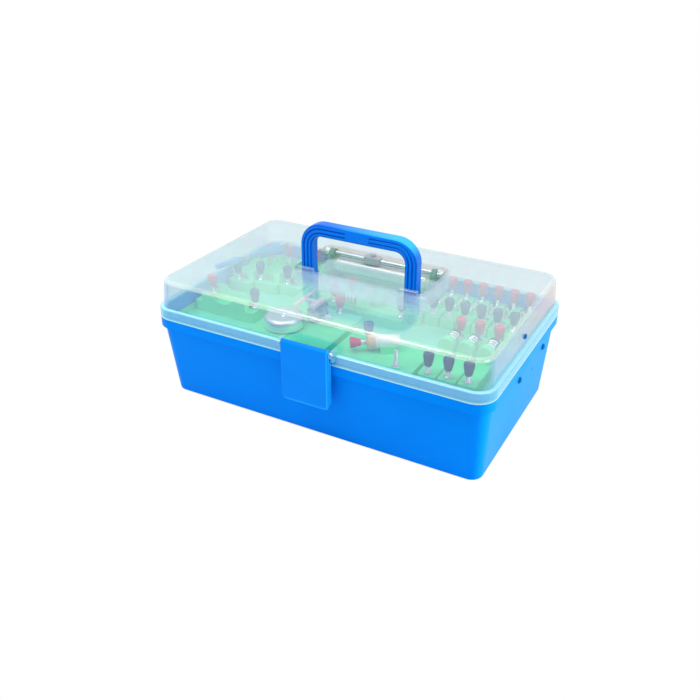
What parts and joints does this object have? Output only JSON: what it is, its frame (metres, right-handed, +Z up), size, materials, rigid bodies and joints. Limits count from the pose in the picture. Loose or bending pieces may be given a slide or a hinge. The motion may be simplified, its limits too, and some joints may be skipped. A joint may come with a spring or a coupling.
{
  "type": "electricity experiment kit",
  "caption": "Blue plastic case with a clear hinged lid, folding handle and front latch, packed with green circuit modules, lamp sockets, switches, a bell, a motor and a rheostat",
  "frame": {"origin": "middle of the case footprint on the surface it stands on", "axes": "+X along the case to the right as seen from the latch side, +Y from the latch to the hinges, +Z up"},
  "size_m": [0.36, 0.2354, 0.1795],
  "materials": {
    "blue_case": "moulded, slight sheen",
    "blue_handle": "moulded, slight sheen",
    "clear_lid": "clear moulded polystyrene",
    "pin_steel": "plain drawn wire",
    "tray_green": "moulded",
    "module_green": "moulded, semi-gloss",
    "bright_metal": "nickel plated",
    "contact_brass": "sheet brass",
    "striker_copper": "copper strip",
    "coil_wire": "enamelled wire",
    "ceramic_tube": "glazed ceramic",
    "black_plastic": "moulded",
    "red_plastic": "moulded",
    "orange_cap": "moulded",
    "motor_white": "painted can",
    "clip_blue": "soft vinyl sleeve"
  },
  "bodies": {
    "case": {"base_box": "blue_case", "battery_contacts": "contact_brass", "battery_holder_1": "module_green", "battery_holder_2": "module_green", "battery_holder_3": "module_green", "battery_holder_4": "module_green", "bell_base": "module_green", "bell_coils": "coil_wire", "bell_contact_post": "bright_metal", "bell_gong": "bright_metal", "bell_gong_screw": "bright_metal", "bell_yoke": "bright_metal", "black_terminal_knobs": "black_plastic", "clip_boots": "clip_blue", "clip_jaws": "bright_metal", "hinge_pins": "pin_steel", "lamp_base_1": "module_green", "lamp_base_2": "module_green", "lamp_base_3": "module_green", "lamp_base_4": "module_green", "lamp_base_5": "module_green", "lamp_socket_1": "bright_metal", "lamp_socket_2": "bright_metal", "lamp_socket_3": "bright_metal", "lamp_socket_4": "bright_metal", "lamp_socket_5": "bright_metal", "motor_base": "module_green", "motor_can": "motor_white", "motor_cap": "orange_cap", "red_terminal_knobs": "red_plastic", "resistor_base_1": "module_green", "resistor_base_2": "module_green", "resistor_base_3": "module_green", "resistor_tube_1": "ceramic_tube", "resistor_tube_2": "ceramic_tube", "resistor_tube_3": "ceramic_tube", "rheostat_end_plates": "black_plastic", "rheostat_rod": "bright_metal", "rheostat_tube": "coil_wire", "switch_base_1": "module_green", "switch_base_2": "module_green", "switch_base_3": "module_green", "switch_clips": "bright_metal", "terminal_studs": "bright_metal", "tray": "tray_green"},
    "lid_assembly": {"lid": "clear_lid", "handle_pins": "pin_steel", "latch_pin": "pin_steel"},
    "handle_bow": {"handle": "blue_handle"},
    "latch_plate": {"latch": "blue_handle"},
    "slider": {"rheostat_slider": "black_plastic"},
    "striker": {"bell_striker": "striker_copper"},
    "rotor": {"motor_shaft": "bright_metal", "motor_hub": "red_plastic"},
    "switch_arm_1": {"switch_blade_1": "striker_copper", "switch_grip_1": "black_plastic"},
    "switch_arm_2": {"switch_blade_2": "striker_copper", "switch_grip_2": "black_plastic"},
    "switch_arm_3": {"switch_blade_3": "striker_copper", "switch_grip_3": "black_plastic"}
  },
  "joints": [
    {"name": "lid_hinge", "type": "hinge", "parent": "case", "child": "lid_assembly", "pos_m": [0, 0.1141, 0.08965], "axis": [-1, 0, 0], "range_deg": [0, 105]},
    {"name": "handle_fold", "type": "hinge", "parent": "lid_assembly", "child": "handle_bow", "pos_m": [0, -0.002, 0.1205], "axis": [-1, 0, 0], "range_deg": [0, 90]},
    {"name": "latch_swing", "type": "hinge", "parent": "lid_assembly", "child": "latch_plate", "pos_m": [0.004, -0.114, 0.1032], "axis": [-1, 0, 0], "range_deg": [0, 100]},
    {"name": "rheostat_slide", "type": "slide", "parent": "case", "child": "slider", "axis": [1, 0, 0], "range_m": [-0.034, 0.056]},
    {"name": "bell_strike", "type": "hinge", "parent": "case", "child": "striker", "pos_m": [-0.0495, -0.0095, 0.106], "axis": [1, 0, 0], "range_deg": [-3, 1], "stiffness_Nm_per_rad": 0.5},
    {"name": "motor_spin", "type": "hinge", "parent": "case", "child": "rotor", "pos_m": [0.03934, -0.06716, 0.097], "axis": [0.848, 0.5299, 0], "continuous": true},
    {"name": "switch_arm_1_lift", "type": "hinge", "parent": "case", "child": "switch_arm_1", "pos_m": [0.1173, 0.048, 0.0955], "axis": [1, 0, 0], "range_deg": [0, 90]},
    {"name": "switch_arm_2_lift", "type": "hinge", "parent": "case", "child": "switch_arm_2", "pos_m": [0.1344, 0.048, 0.0955], "axis": [1, 0, 0], "range_deg": [0, 90]},
    {"name": "switch_arm_3_lift", "type": "hinge", "parent": "case", "child": "switch_arm_3", "pos_m": [0.1515, 0.048, 0.0955], "axis": [1, 0, 0], "range_deg": [0, 90]}
  ]
}
